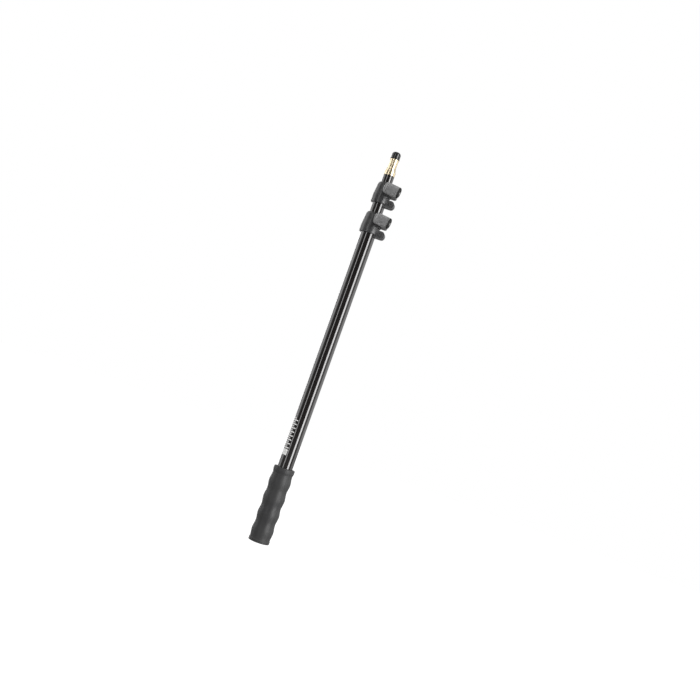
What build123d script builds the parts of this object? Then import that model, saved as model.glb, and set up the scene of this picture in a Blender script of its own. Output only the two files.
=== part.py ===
from build123d import *
import os

# A hand-held pole of three telescoping tubes, closed. +Z runs along the pole from the flat end of
# the grip to the spigot, +X points to the ears of the two clamps and -Y to their knobs.
# All sizes are in millimetres.

# Tubes
outer_tube_radius = 11.0
tube_wall = 1.0
tube_gap = 0.5               # radial gap between one tube and the next
outer_tube_length = 475.5
middle_tube_show = 15.0      # bare tube between the two collars when closed
inner_tube_show = 12.0       # bare tube between the upper collar and the spigot

# Clearances
seat_clearance = 0.05        # between pieces of one body that fit together
turning_clearance = 0.1      # radial, between a shaft and the piece that turns on it
moving_clearance = 0.3       # between pieces that slide past each other
end_clearance = 0.1          # along the axis, between a turning piece and its seat

# Grip
grip_length = 110.0
grip_swell_wall = 4.9        # around the outer tube, as are the next three
grip_valley_wall = 3.5
grip_neck_wall = 3.8
grip_rim_wall = 4.4
grip_rim_height = 4.5
grip_lower_neck_height = 0.5  # from a rim to the neck beside it
grip_upper_neck_height = 5.0
grip_swell_count = 4
grip_edge_radius = 1.2

# Butt plug
plug_flange_wall = 2.4       # beyond the outer tube
plug_flange_thickness = 2.5
plug_stem_length = 14.0

# Foot bushes
bush_flange_thickness = 2.5
bush_stem_length = 12.0
bush_hole_radius = 4.0
foot_gap = 1.0               # between a foot bush and what it stops above

# Collars
collar_height = 30.5
collar_wall = 3.5            # around the fixed tube
collar_top_wall = 3.25       # around the sliding tube
collar_shoulder_height = 3.0
collar_shoulder_wall = 1.5
collar_edge_radius = 0.8
fixed_tube_depth = 14.0      # how far the fixed tube stands in the collar
slit_width = 2.4
slot_bottom = 9.0
slot_height = 2.0
slot_inset = 3.2             # how far the cross slot runs in from the collar's side
ear_reach = 12.5             # beyond the sliding tube
ear_bottom = 13.0            # above the collar's bottom
ear_height = 13.0
ear_half_width = 10.6
ear_corner_radius = 3.0
lug_reach = 12.6             # beyond the fixed tube
lug_drop = 3.0               # below the collar's bottom
lug_top = 8.0                # above the collar's bottom
lug_half_width = 7.0
lug_corner_radius = 5.0

# Clamp bolt, washer and knob
bolt_radius = 3.0
bolt_offset = 7.0            # beyond the sliding tube
bolt_height = 20.0           # above the collar's bottom
bolt_head_flats = 10.0
bolt_head_height = 4.0
bolt_pocket_depth = 3.2
bolt_engagement = 9.7        # in the knob's insert
washer_radius = 6.5
washer_thickness = 1.2
hub_radius = 7.0
knob_width = 24.0            # length of the round cross bar
knob_radius = 8.1
knob_end_radius = 3.0
knob_recess_radius = 4.4     # in the right end, round the pin
knob_recess_depth = 1.6
knob_gap = 0.7               # between the cross bar and the side of the lower collar
knob_tilt = 7.5              # degrees, right end down
insert_radius = 4.4
insert_length = 13.0
knob_pin_radius = 1.2

# Pinch screw and nut
pinch_radius = 2.0
pinch_head_radius = 3.1
pinch_head_height = 1.8
pinch_socket_flats = 2.5
pinch_socket_depth = 1.2
pinch_inset = 4.7            # from the lug's outer end
pinch_nut_flats = 7.0
pinch_nut_height = 3.2

# Clamp bush
clamp_bush_slit = 2.0

# Spigot, its pin, the stud and the cap
spigot_ring_height = 7.0
spigot_length = 25.0
spigot_waist_radius = 6.15
spigot_lip_radius = 6.65
spigot_taper_height = 6.0
spigot_lip_height = 3.0
spigot_edge = 0.5
spigot_stem_length = 25.0
spigot_pin_radius = 1.25
spigot_pin_drop = 6.0        # below the end of the inner tube
stud_radius = 4.76
stud_depth = 10.0
stud_proud = 8.4
cap_radius = 6.9
cap_height = 11.2
cap_dome_radius = 4.6

# Sizes that follow
middle_tube_radius = outer_tube_radius - tube_wall - tube_gap
inner_tube_radius = middle_tube_radius - tube_wall - tube_gap
plug_flange_radius = outer_tube_radius + plug_flange_wall
grip_rim_radius = outer_tube_radius + grip_rim_wall
knob_start = ear_half_width + washer_thickness + end_clearance
knob_bar_offset = outer_tube_radius + collar_wall + knob_gap + knob_radius

outer_tube_bottom = plug_flange_thickness
outer_tube_top = outer_tube_bottom + outer_tube_length
lower_collar_bottom = outer_tube_top - fixed_tube_depth
upper_collar_bottom = lower_collar_bottom + collar_height + middle_tube_show
middle_tube_top = upper_collar_bottom + fixed_tube_depth
inner_tube_top = upper_collar_bottom + collar_height + inner_tube_show

middle_foot_bottom = outer_tube_bottom + plug_stem_length + foot_gap
middle_tube_bottom = middle_foot_bottom + bush_flange_thickness
inner_foot_bottom = middle_tube_bottom + bush_stem_length + foot_gap
inner_tube_bottom = inner_foot_bottom + bush_flange_thickness
spigot_top = inner_tube_top + spigot_length


def ring(outer_radius, inner_radius, bottom, top):
    # A plain sleeve about Z.
    height = top - bottom
    body = Cylinder(outer_radius, height) - Cylinder(inner_radius, height)
    return Pos(0, 0, (bottom + top) / 2) * body


def rod(radius, bottom, top):
    # A plain round bar about Z.
    return Pos(0, 0, (bottom + top) / 2) * Cylinder(radius, top - bottom)


def cross_rod(radius, x, z, y_start, y_end):
    # A round bar along Y at the given x and z.
    middle = Location((x, (y_start + y_end) / 2, z), (90, 0, 0))
    return middle * Cylinder(radius, abs(y_end - y_start))


def cross_hex(flats, x, z, y_start, y_end):
    # A hexagonal bar along Y, from y_start towards y_end.
    outline = RegularPolygon(flats / 2, 6, major_radius=False, rotation=30)
    place = Plane(origin=(x, y_start, z), x_dir=(1, 0, 0), z_dir=(0, y_end - y_start, 0))
    return place * extrude(outline, abs(y_end - y_start))


def turned(*edges):
    # A solid of revolution about Z from a closed outline in the XZ plane.
    return revolve(Plane.XZ * make_face(Curve() + list(edges)), Axis.Z)


# Handle
def grip_sleeve():
    # A sleeve whose side rises and falls in even swells between two rims.
    neck = grip_rim_height + grip_lower_neck_height
    upper_neck = grip_length - grip_rim_height - grip_upper_neck_height
    pitch = (upper_neck - neck) / grip_swell_count
    stations = [(outer_tube_radius + grip_neck_wall, neck)]
    for swell in range(grip_swell_count):
        start = neck + swell * pitch
        stations.append((outer_tube_radius + grip_swell_wall, start + pitch / 2))
        stations.append((outer_tube_radius + grip_valley_wall, start + pitch))
    bore = outer_tube_radius + seat_clearance
    upper_rim = grip_length - grip_rim_height
    edges = [
        Line((bore, 0), (grip_rim_radius, 0)),
        Line((grip_rim_radius, 0), (grip_rim_radius, grip_rim_height)),
        Spline((grip_rim_radius, grip_rim_height), stations[0], tangents=[(0, 1), (0, 1)]),
        Spline(stations[-1], (grip_rim_radius, upper_rim), tangents=[(0, 1), (0, 1)]),
        Line((grip_rim_radius, upper_rim), (grip_rim_radius, grip_length)),
        Line((grip_rim_radius, grip_length), (bore, grip_length)),
        Line((bore, grip_length), (bore, 0)),
    ]
    for start, end in zip(stations, stations[1:]):
        edges.append(Spline(start, end, tangents=[(0, 1), (0, 1)]))
    sleeve = turned(*edges)
    rims = sleeve.edges().filter_by(GeomType.CIRCLE).group_by(Axis.Z)
    ends = [max(rims[end], key=lambda edge: edge.radius) for end in (0, -1)]
    sleeve = fillet(ends, grip_edge_radius)
    return sleeve - rod(plug_flange_radius + seat_clearance, 0, plug_flange_thickness)


def butt_plug():
    # A flange flush with the grip's end and a stem inside the tube.
    stem_radius = outer_tube_radius - tube_wall - seat_clearance
    flange = rod(plug_flange_radius, 0, plug_flange_thickness)
    return flange + rod(stem_radius, 0, plug_flange_thickness + plug_stem_length)


def foot_bush(bottom, outside_tube_radius, carried_tube_radius):
    # A flanged plug: the flange guides in the outside tube and the stem stands in the carried one.
    flange_radius = outside_tube_radius - tube_wall - moving_clearance
    stem_radius = carried_tube_radius - tube_wall - turning_clearance
    flange_top = bottom + bush_flange_thickness - end_clearance
    body = rod(flange_radius, bottom, flange_top)
    body += rod(stem_radius, bottom, bottom + bush_flange_thickness + bush_stem_length)
    return body - rod(bush_hole_radius, bottom, bottom + bush_flange_thickness + bush_stem_length)


# Clamps
def ear_block(reach, bottom, height, half_width, corner_radius):
    # A block from the pole's axis out to reach, with its two outer corners rounded.
    block = Pos(reach / 2, 0, bottom + height / 2) * Box(reach, 2 * half_width, height)
    outer_edges = block.edges().filter_by(Axis.Y).group_by(Axis.X)[-1]
    return fillet(outer_edges, corner_radius)


def collar(bottom, fixed_radius, sliding_radius):
    bore = fixed_radius + seat_clearance
    mouth = sliding_radius + moving_clearance
    foot_radius = fixed_radius + collar_wall
    waist = slot_bottom + slot_height
    reach = fixed_radius + max(ear_reach, lug_reach)
    shoulder = collar_height - collar_shoulder_height
    outline = Polyline(
        (0, 0),
        (foot_radius, 0),
        (foot_radius, waist),
        (sliding_radius + collar_top_wall, shoulder),
        (sliding_radius + collar_shoulder_wall, collar_height),
        (0, collar_height),
        close=True,
    )
    body = turned(outline)
    rims = body.edges().filter_by(GeomType.CIRCLE).sort_by(Axis.Z)
    body = fillet([edge for edge in rims if edge.radius > mouth], collar_edge_radius)
    body += ear_block(sliding_radius + ear_reach, ear_bottom, ear_height, ear_half_width,
                      ear_corner_radius)
    body += ear_block(fixed_radius + lug_reach, -lug_drop, lug_drop + lug_top, lug_half_width,
                      lug_corner_radius)
    body -= rod(bore, -lug_drop, shoulder)
    body -= rod(mouth, 0, collar_height)
    whole_height = collar_height + lug_drop
    slit = Pos(reach / 2, 0, collar_height - whole_height / 2) * Box(reach, slit_width, whole_height)
    slot_x = foot_radius - slot_inset
    slot = Pos(slot_x + reach / 2, 0, slot_bottom + slot_height / 2) * Box(
        reach, 2 * foot_radius, slot_height)
    body = body - slit - slot
    bolt_x = sliding_radius + bolt_offset
    pinch_x = fixed_radius + lug_reach - pinch_inset
    pinch_z = (lug_top - lug_drop) / 2
    body -= cross_rod(bolt_radius + seat_clearance, bolt_x, bolt_height,
                      -ear_half_width, ear_half_width)
    body -= cross_hex(bolt_head_flats + 2 * seat_clearance, bolt_x, bolt_height,
                      ear_half_width - bolt_pocket_depth, ear_half_width + foot_radius)
    body -= cross_rod(max(washer_radius, hub_radius) + moving_clearance, bolt_x, bolt_height,
                      -ear_half_width, -ear_half_width - foot_radius)
    body -= cross_rod(pinch_radius + seat_clearance, pinch_x, pinch_z,
                      -lug_half_width, lug_half_width)
    body -= cross_hex(pinch_nut_flats + 2 * seat_clearance, pinch_x, pinch_z,
                      lug_half_width - pinch_nut_height, lug_half_width)
    return Pos(0, 0, bottom) * body


def clamp_bush(bottom, fixed_radius, sliding_radius):
    # The split sleeve that stands on the fixed tube's end, under the collar's lip.
    start = bottom + fixed_tube_depth + end_clearance
    end = bottom + collar_height - collar_shoulder_height - end_clearance
    sleeve = ring(fixed_radius, sliding_radius + moving_clearance, start, end)
    slit = Pos(fixed_radius / 2, 0, (start + end) / 2) * Box(
        fixed_radius + 1, clamp_bush_slit, end - start)
    return sleeve - slit


def clamp_bolt(bottom, sliding_radius):
    # The head lies in the rear ear's pocket and the shank runs out through the front ear.
    x = sliding_radius + bolt_offset
    z = bottom + bolt_height
    head_start = ear_half_width - bolt_pocket_depth
    tip = -(knob_start + bolt_engagement)
    head = cross_hex(bolt_head_flats, x, z, head_start, head_start + bolt_head_height)
    shank = cross_rod(bolt_radius, x, z, head_start, tip)
    tip_edges = shank.edges().filter_by(GeomType.CIRCLE).group_by(Axis.Y)[0]
    return head + chamfer(tip_edges, bolt_radius / 4)


def clamp_washer(bottom, sliding_radius):
    x = sliding_radius + bolt_offset
    z = bottom + bolt_height
    start = -ear_half_width
    end = start - washer_thickness
    plate = cross_rod(washer_radius, x, z, start, end)
    return plate - cross_rod(bolt_radius + turning_clearance, x, z, start, end)


def on_bolt(bottom, sliding_radius, shape):
    # Turns a shape made about the Y axis to the knob's rest angle and moves it onto the bolt.
    place = Pos(sliding_radius + bolt_offset, 0, bottom + bolt_height)
    return place * Rot(0, knob_tilt, 0) * shape


def knob(bottom, sliding_radius):
    # A round cross bar on a short hub, with a recess in the bar's right end.
    bar = Location((0, -knob_bar_offset, 0), (0, 90, 0)) * Cylinder(knob_radius, knob_width)
    bar = fillet(bar.edges().filter_by(GeomType.CIRCLE), knob_end_radius)
    body = bar + cross_rod(hub_radius, 0, 0, -knob_start, -knob_bar_offset)
    body -= cross_rod(insert_radius + seat_clearance, 0, 0, -knob_start,
                      -knob_start - insert_length)
    recess_middle = (knob_width - knob_recess_depth) / 2
    recess = Location((recess_middle, -knob_bar_offset, 0), (0, 90, 0))
    body -= recess * Cylinder(knob_recess_radius, knob_recess_depth)
    pin_hole = knob_pin_bar(knob_pin_radius + seat_clearance, 0)
    return on_bolt(bottom, sliding_radius, body - pin_hole)


def knob_pin_bar(radius, start):
    # A bar along X from start to the right end of the knob.
    length = knob_width / 2 - start
    return Location((start + length / 2, -knob_bar_offset, 0), (0, 90, 0)) * Cylinder(radius, length)


def knob_pin(bottom, sliding_radius):
    pin = knob_pin_bar(knob_pin_radius, insert_radius + seat_clearance)
    return on_bolt(bottom, sliding_radius, pin)


def knob_insert(bottom, sliding_radius):
    end = -knob_start - insert_length + seat_clearance
    body = cross_rod(insert_radius, 0, 0, -knob_start, end)
    body -= cross_rod(bolt_radius + turning_clearance, 0, 0, -knob_start, end)
    return on_bolt(bottom, sliding_radius, body)


def pinch_place(bottom, fixed_radius):
    return fixed_radius + lug_reach - pinch_inset, bottom + (lug_top - lug_drop) / 2


def pinch_screw(bottom, fixed_radius):
    x, z = pinch_place(bottom, fixed_radius)
    head_end = -lug_half_width - pinch_head_height
    head = cross_rod(pinch_head_radius, x, z, -lug_half_width, head_end)
    front_edges = head.edges().filter_by(GeomType.CIRCLE).group_by(Axis.Y)[0]
    head = fillet(front_edges, pinch_head_height / 4)
    head -= cross_hex(pinch_socket_flats, x, z, head_end + pinch_socket_depth, head_end)
    return head + cross_rod(pinch_radius, x, z, -lug_half_width, lug_half_width)


def pinch_nut(bottom, fixed_radius):
    x, z = pinch_place(bottom, fixed_radius)
    start = lug_half_width - pinch_nut_height + seat_clearance
    body = cross_hex(pinch_nut_flats, x, z, start, lug_half_width)
    return body - cross_rod(pinch_radius + seat_clearance, x, z, start, lug_half_width)


# Head
def inner_tube():
    tube = ring(inner_tube_radius, inner_tube_radius - tube_wall, inner_tube_bottom, inner_tube_top)
    return tube - spigot_pin_bar(spigot_pin_radius + seat_clearance)


def spigot_pin_bar(radius):
    # A bar along X through both walls of the inner tube, flush with them.
    place = Location((0, 0, inner_tube_top - spigot_pin_drop), (0, 90, 0))
    return place * Cylinder(radius, 2 * inner_tube_radius)


def spigot_pin():
    return spigot_pin_bar(spigot_pin_radius) & rod(
        inner_tube_radius - seat_clearance, inner_tube_bottom, inner_tube_top)


def spigot():
    # A full-width ring on the tube's end, a taper to a waist, and a small lip under the cap.
    ring_radius = inner_tube_radius
    ring_top = inner_tube_top + spigot_ring_height
    waist_bottom = ring_top + spigot_taper_height
    lip_bottom = spigot_top - spigot_lip_height
    stem_radius = inner_tube_radius - tube_wall - seat_clearance
    stem_bottom = inner_tube_top - spigot_stem_length
    side = [
        Polyline((0, stem_bottom), (stem_radius, stem_bottom), (stem_radius, inner_tube_top),
                 (ring_radius - spigot_edge, inner_tube_top),
                 (ring_radius, inner_tube_top + spigot_edge),
                 (ring_radius, ring_top - spigot_edge),
                 (ring_radius - spigot_edge, ring_top)),
        Spline((ring_radius - spigot_edge, ring_top), (spigot_waist_radius, waist_bottom),
               tangents=[(-1, 3), (0, 1)]),
        Line((spigot_waist_radius, waist_bottom), (spigot_waist_radius, lip_bottom)),
        Spline((spigot_waist_radius, lip_bottom), (spigot_lip_radius, spigot_top),
               tangents=[(0, 1), (0, 1)]),
        Polyline((spigot_lip_radius, spigot_top), (0, spigot_top), (0, stem_bottom)),
    ]
    body = turned(*side)
    body -= rod(stud_radius + seat_clearance, spigot_top - stud_depth, spigot_top)
    return body - spigot_pin_bar(spigot_pin_radius + seat_clearance)


def tip_stud():
    top = spigot_top + stud_proud
    body = rod(stud_radius, spigot_top - stud_depth + seat_clearance, top)
    return chamfer(body.edges().group_by(Axis.Z)[-1], spigot_edge)


def tip_cap():
    # A domed cap over the stud.
    bottom = spigot_top + end_clearance
    body = rod(cap_radius, bottom, bottom + cap_height)
    body = fillet(body.edges().group_by(Axis.Z)[-1], cap_dome_radius)
    return body - rod(stud_radius + moving_clearance, bottom,
                      spigot_top + stud_proud + moving_clearance)


def tube(radius, bottom, top):
    return ring(radius, radius - tube_wall, bottom, top)


nodes = {
    "grip_sleeve": grip_sleeve(),
    "butt_plug": butt_plug(),
    "outer_tube": tube(outer_tube_radius, outer_tube_bottom, outer_tube_top),
    "middle_tube": tube(middle_tube_radius, middle_tube_bottom, middle_tube_top),
    "inner_tube": inner_tube(),
    "middle_foot_bush": foot_bush(middle_foot_bottom, outer_tube_radius, middle_tube_radius),
    "inner_foot_bush": foot_bush(inner_foot_bottom, middle_tube_radius, inner_tube_radius),
    "spigot": spigot(),
    "spigot_pin": spigot_pin(),
    "tip_stud": tip_stud(),
    "tip_cap": tip_cap(),
}

clamps = {
    "lower": (lower_collar_bottom, outer_tube_radius, middle_tube_radius),
    "upper": (upper_collar_bottom, middle_tube_radius, inner_tube_radius),
}
for name, (bottom, fixed_radius, sliding_radius) in clamps.items():
    nodes[f"{name}_collar"] = collar(bottom, fixed_radius, sliding_radius)
    nodes[f"{name}_clamp_bush"] = clamp_bush(bottom, fixed_radius, sliding_radius)
    nodes[f"{name}_clamp_bolt"] = clamp_bolt(bottom, sliding_radius)
    nodes[f"{name}_clamp_washer"] = clamp_washer(bottom, sliding_radius)
    nodes[f"{name}_knob"] = knob(bottom, sliding_radius)
    nodes[f"{name}_knob_insert"] = knob_insert(bottom, sliding_radius)
    nodes[f"{name}_knob_pin"] = knob_pin(bottom, sliding_radius)
    nodes[f"{name}_pinch_screw"] = pinch_screw(bottom, fixed_radius)
    nodes[f"{name}_pinch_nut"] = pinch_nut(bottom, fixed_radius)

os.makedirs("parts", exist_ok=True)
for name, shape in nodes.items():
    export_step(shape, f"parts/{name}.step")
    print(name, len(shape.solids()), round(shape.volume, 1))
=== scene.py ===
import math
import bpy
import bmesh
from mathutils import Matrix, Vector


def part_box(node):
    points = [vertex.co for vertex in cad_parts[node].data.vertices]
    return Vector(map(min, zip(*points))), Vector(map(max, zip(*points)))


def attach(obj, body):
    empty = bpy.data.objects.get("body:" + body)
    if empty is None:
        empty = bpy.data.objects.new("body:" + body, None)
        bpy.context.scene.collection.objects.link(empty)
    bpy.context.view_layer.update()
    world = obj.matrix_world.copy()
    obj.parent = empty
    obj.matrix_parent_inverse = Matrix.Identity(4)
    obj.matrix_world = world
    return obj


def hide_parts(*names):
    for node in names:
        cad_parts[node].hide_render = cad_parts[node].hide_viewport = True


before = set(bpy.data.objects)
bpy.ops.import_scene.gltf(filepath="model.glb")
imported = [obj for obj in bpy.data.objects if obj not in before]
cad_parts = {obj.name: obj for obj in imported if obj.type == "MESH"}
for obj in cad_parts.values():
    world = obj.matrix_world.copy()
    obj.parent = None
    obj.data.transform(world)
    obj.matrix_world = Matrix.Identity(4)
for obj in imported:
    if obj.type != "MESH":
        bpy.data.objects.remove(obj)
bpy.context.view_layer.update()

mm = 0.001
gap = 0.05 * mm         # between a piece and what it sits in
tubeWall = 1.0 * mm
clampNames = ("lower", "upper")
fixedBody = {"lower": "handle", "upper": "middle_section"}     # the body each clamp is part of


def say(stage):
    print("stage:", stage, flush=True)


# shader groups that several materials share

def socketIn(tree, name, kind, value=None):
    socket = tree.interface.new_socket(name, in_out="INPUT", socket_type=kind)
    if value is not None:
        socket.default_value = value


def socketOut(tree, name, kind):
    tree.interface.new_socket(name, in_out="OUTPUT", socket_type=kind)


def addNode(tree, kind, x, y, **settings):
    node = tree.nodes.new(kind)
    node.location = (x, y)
    for key, value in settings.items():
        setattr(node, key, value)
    return node


def mathNode(tree, operation, x, y, a=None, b=None, clamp=False):
    node = addNode(tree, "ShaderNodeMath", x, y, operation=operation, use_clamp=clamp)
    for index, value in enumerate((a, b)):
        if isinstance(value, (int, float)):
            node.inputs[index].default_value = value
        elif value is not None:
            tree.links.new(value, node.inputs[index])
    return node.outputs[0]


def noiseNode(tree, x, y, vector, scale, detail=3.0, roughness=0.5):
    node = addNode(tree, "ShaderNodeTexNoise", x, y)
    node.inputs["Detail"].default_value = detail
    node.inputs["Roughness"].default_value = roughness
    if isinstance(scale, (int, float)):
        node.inputs["Scale"].default_value = scale
    else:
        tree.links.new(scale, node.inputs["Scale"])
    tree.links.new(vector, node.inputs["Vector"])
    return node


def rangeNode(tree, x, y, value, low, high, outLow=0.0, outHigh=1.0):
    node = addNode(tree, "ShaderNodeMapRange", x, y, clamp=True)
    tree.links.new(value, node.inputs["Value"])
    ends = {"From Min": low, "From Max": high, "To Min": outLow, "To Max": outHigh}
    for name, number in ends.items():
        if isinstance(number, (int, float)):
            node.inputs[name].default_value = number
        else:
            tree.links.new(number, node.inputs[name])
    return node.outputs["Result"]


def groupEnds(tree):
    start = addNode(tree, "NodeGroupInput", -900, 0)
    end = addNode(tree, "NodeGroupOutput", 900, 0)
    return start.outputs, end.inputs


def startGroup(name, outputs, **inputs):
    # a shader group with a vector, these numbers by name, and these outputs
    tree = bpy.data.node_groups.new(name, "ShaderNodeTree")
    socketIn(tree, "Vector", "NodeSocketVector")
    for label, value in inputs.items():
        socketIn(tree, label, "NodeSocketFloat", value)
    for label in outputs:
        socketOut(tree, label, "NodeSocketFloat")
    return tree, *groupEnds(tree)


def makeGrainGroup():
    # moulded or blasted grain, fine noise less a share of rounded cells
    tree, start, end = startGroup("surfaceGrain", ["Height"], Scale=2000.0, Cells=0.5)
    fine = noiseNode(tree, -500, 150, start["Vector"], start["Scale"], 4.0, 0.6)
    cells = addNode(tree, "ShaderNodeTexVoronoi", -500, -150, feature="SMOOTH_F1")
    cells.inputs["Smoothness"].default_value = 0.6
    tree.links.new(start["Vector"], cells.inputs["Vector"])
    tree.links.new(start["Scale"], cells.inputs["Scale"])
    share = mathNode(tree, "MULTIPLY", -200, -150, cells.outputs["Distance"],
                     start["Cells"])
    height = mathNode(tree, "SUBTRACT", 0, 0, fine.outputs["Fac"], share)
    tree.links.new(height, end["Height"])
    return tree


def makeWearGroup():
    # worn corners: the mesh's edge attribute broken up by noise
    tree, start, end = startGroup("edgeWear", ["Mask"], Edge=0.0, Scale=300.0, Amount=0.5)
    broken = noiseNode(tree, -500, 100, start["Vector"], start["Scale"], 5.0, 0.65)
    patches = rangeNode(tree, -250, 100, broken.outputs["Fac"], 0.38, 0.62)
    worn = mathNode(tree, "MULTIPLY", 0, 0, patches, start["Edge"])
    mask = mathNode(tree, "MULTIPLY", 250, 0, worn, start["Amount"], clamp=True)
    tree.links.new(mask, end["Mask"])
    return tree


def makeHazeGroup():
    # handling: broad cloudy patches and small specks of dust
    tree, start, end = startGroup("handlingHaze", ["Cloud", "Dust"], Scale=30.0, Specks=0.3)
    cloud = noiseNode(tree, -500, 150, start["Vector"], start["Scale"], 4.0, 0.55)
    tree.links.new(rangeNode(tree, -250, 150, cloud.outputs["Fac"], 0.3, 0.7), end["Cloud"])
    fine = mathNode(tree, "MULTIPLY", -650, -200, start["Scale"], 45.0)
    specks = addNode(tree, "ShaderNodeTexVoronoi", -450, -200)
    tree.links.new(start["Vector"], specks.inputs["Vector"])
    tree.links.new(fine, specks.inputs["Scale"])
    dots = rangeNode(tree, -200, -200, specks.outputs["Distance"], 0.05, 0.16, 1.0, 0.0)
    dust = mathNode(tree, "MULTIPLY", 50, -200, dots, start["Specks"])
    tree.links.new(dust, end["Dust"])
    return tree


def makeDrawnGroup():
    # fine lines, drawn along Z on tubes or turned round it on lathe work
    tree, start, end = startGroup("toolLines", ["Height", "Scratches"], Across=3000.0, Along=20.0)
    stretch = addNode(tree, "ShaderNodeCombineXYZ", -700, -100)
    for axis, name in (("X", "Across"), ("Y", "Across"), ("Z", "Along")):
        tree.links.new(start[name], stretch.inputs[axis])
    scaled = addNode(tree, "ShaderNodeVectorMath", -500, 0, operation="MULTIPLY")
    tree.links.new(start["Vector"], scaled.inputs[0])
    tree.links.new(stretch.outputs[0], scaled.inputs[1])
    lines = noiseNode(tree, -250, 100, scaled.outputs[0], 1.0, 3.0, 0.6)
    tree.links.new(lines.outputs["Fac"], end["Height"])
    coarse = noiseNode(tree, -250, -150, scaled.outputs[0], 0.31, 2.0, 0.5)
    scratches = rangeNode(tree, 0, -150, coarse.outputs["Fac"], 0.66, 0.72)
    tree.links.new(scratches, end["Scratches"])
    return tree


grainGroup = makeGrainGroup()
wearGroup = makeWearGroup()
hazeGroup = makeHazeGroup()
linesGroup = makeDrawnGroup()
say("shader groups")


# materials, each made from one set of values

def groupNode(tree, group, x, y, vector, **values):
    node = addNode(tree, "ShaderNodeGroup", x, y, node_tree=group)
    tree.links.new(vector, node.inputs["Vector"])
    for key, value in values.items():
        if isinstance(value, (int, float)):
            node.inputs[key].default_value = value
        else:
            tree.links.new(value, node.inputs[key])
    return node


def blendColour(tree, x, y, factor, first, second):
    node = addNode(tree, "ShaderNodeMix", x, y, data_type="RGBA")
    tree.links.new(factor, node.inputs[0])
    for socket, colour in ((node.inputs[6], first), (node.inputs[7], second)):
        if hasattr(colour, "is_output"):
            tree.links.new(colour, socket)
        else:
            socket.default_value = (*colour, 1.0)
    return node.outputs[2]


def startMaterial(name):
    material = bpy.data.materials.new(name)
    material.use_nodes = True
    tree = material.node_tree
    tree.nodes.clear()
    output = addNode(tree, "ShaderNodeOutputMaterial", 1200, 0)
    shader = addNode(tree, "ShaderNodeBsdfPrincipled", 900, 0)
    tree.links.new(shader.outputs["BSDF"], output.inputs["Surface"])
    place = addNode(tree, "ShaderNodeTexCoord", -1200, 0).outputs["Object"]
    return material, tree, shader, place


def addBump(tree, shader, height, strength, distance):
    bump = addNode(tree, "ShaderNodeBump", 650, -300)
    bump.inputs["Strength"].default_value = strength
    bump.inputs["Distance"].default_value = distance
    tree.links.new(height, bump.inputs["Height"])
    tree.links.new(bump.outputs["Normal"], shader.inputs["Normal"])


def startFinish(name, look):
    # what every finish shares: cloudy colour, specks of dust and worn corners
    material, tree, shader, place = startMaterial(name)
    edge = addNode(tree, "ShaderNodeAttribute", -1200, -300, attribute_name="edge").outputs["Fac"]
    haze = groupNode(tree, hazeGroup, -800, 200, place, Scale=look["cloud"], Specks=look["specks"])
    worn = groupNode(tree, wearGroup, -800, -500, place, Edge=edge, Scale=look["wearScale"],
                     Amount=look["wear"]).outputs["Mask"]
    base = blendColour(tree, -400, 300, haze.outputs["Cloud"], look["dark"], look["light"])
    shader.inputs["Specular IOR Level"].default_value = look["specular"]
    return material, tree, shader, place, haze, worn, base


def mouldedMaterial(name, look):
    # rubber and plastics: grain, cloudy colour, dust and rubbed corners
    material, tree, shader, place, haze, worn, base = startFinish(name, look)
    grain = groupNode(tree, grainGroup, -800, -200, place, Scale=look["grain"], Cells=look["cells"])
    dusty = blendColour(tree, -150, 300, haze.outputs["Dust"], base, look["dust"])
    tree.links.new(blendColour(tree, 100, 300, worn, dusty, look["rubbed"]),
                   shader.inputs["Base Color"])
    rough = rangeNode(tree, 100, 0, haze.outputs["Cloud"], 0.0, 1.0, look["rough"] - 0.05,
                      look["rough"] + 0.05)
    polish = mathNode(tree, "MULTIPLY", 100, -150, worn, look["polish"])
    tree.links.new(mathNode(tree, "SUBTRACT", 350, 0, rough, polish, clamp=True),
                   shader.inputs["Roughness"])
    addBump(tree, shader, grain.outputs["Height"], look["bump"], look["depth"])
    return material


def metalMaterial(name, look):
    # bright or coated metal: tool lines, tarnish clouds, worn corners
    material, tree, shader, place, haze, worn, base = startFinish(name, look)
    lines = groupNode(tree, linesGroup, -800, -200, place, Across=look["across"],
                      Along=look["along"])
    scratches = mathNode(tree, "MULTIPLY", -400, 50, lines.outputs["Scratches"], look["scratches"])
    scratched = blendColour(tree, -150, 300, scratches, base, look["rubbed"])
    tree.links.new(blendColour(tree, 100, 300, worn, scratched, look["rubbed"]),
                   shader.inputs["Base Color"])
    rough = rangeNode(tree, -100, 0, haze.outputs["Cloud"], 0.0, 1.0, look["rough"] * 0.85,
                      look["rough"] * 1.2)
    dusty = mathNode(tree, "MULTIPLY", -100, -150, haze.outputs["Dust"], 0.3)
    tree.links.new(mathNode(tree, "ADD", 350, 0, rough, dusty, clamp=True),
                   shader.inputs["Roughness"])
    shader.inputs["Metallic"].default_value = look["metallic"]
    shader.inputs["Coat Weight"].default_value = look["coat"]
    shader.inputs["Coat Roughness"].default_value = look["coatRough"]
    addBump(tree, shader, lines.outputs["Height"], look["bump"], look["depth"])
    return material


def grey(level):
    return (level, level, level)


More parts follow.
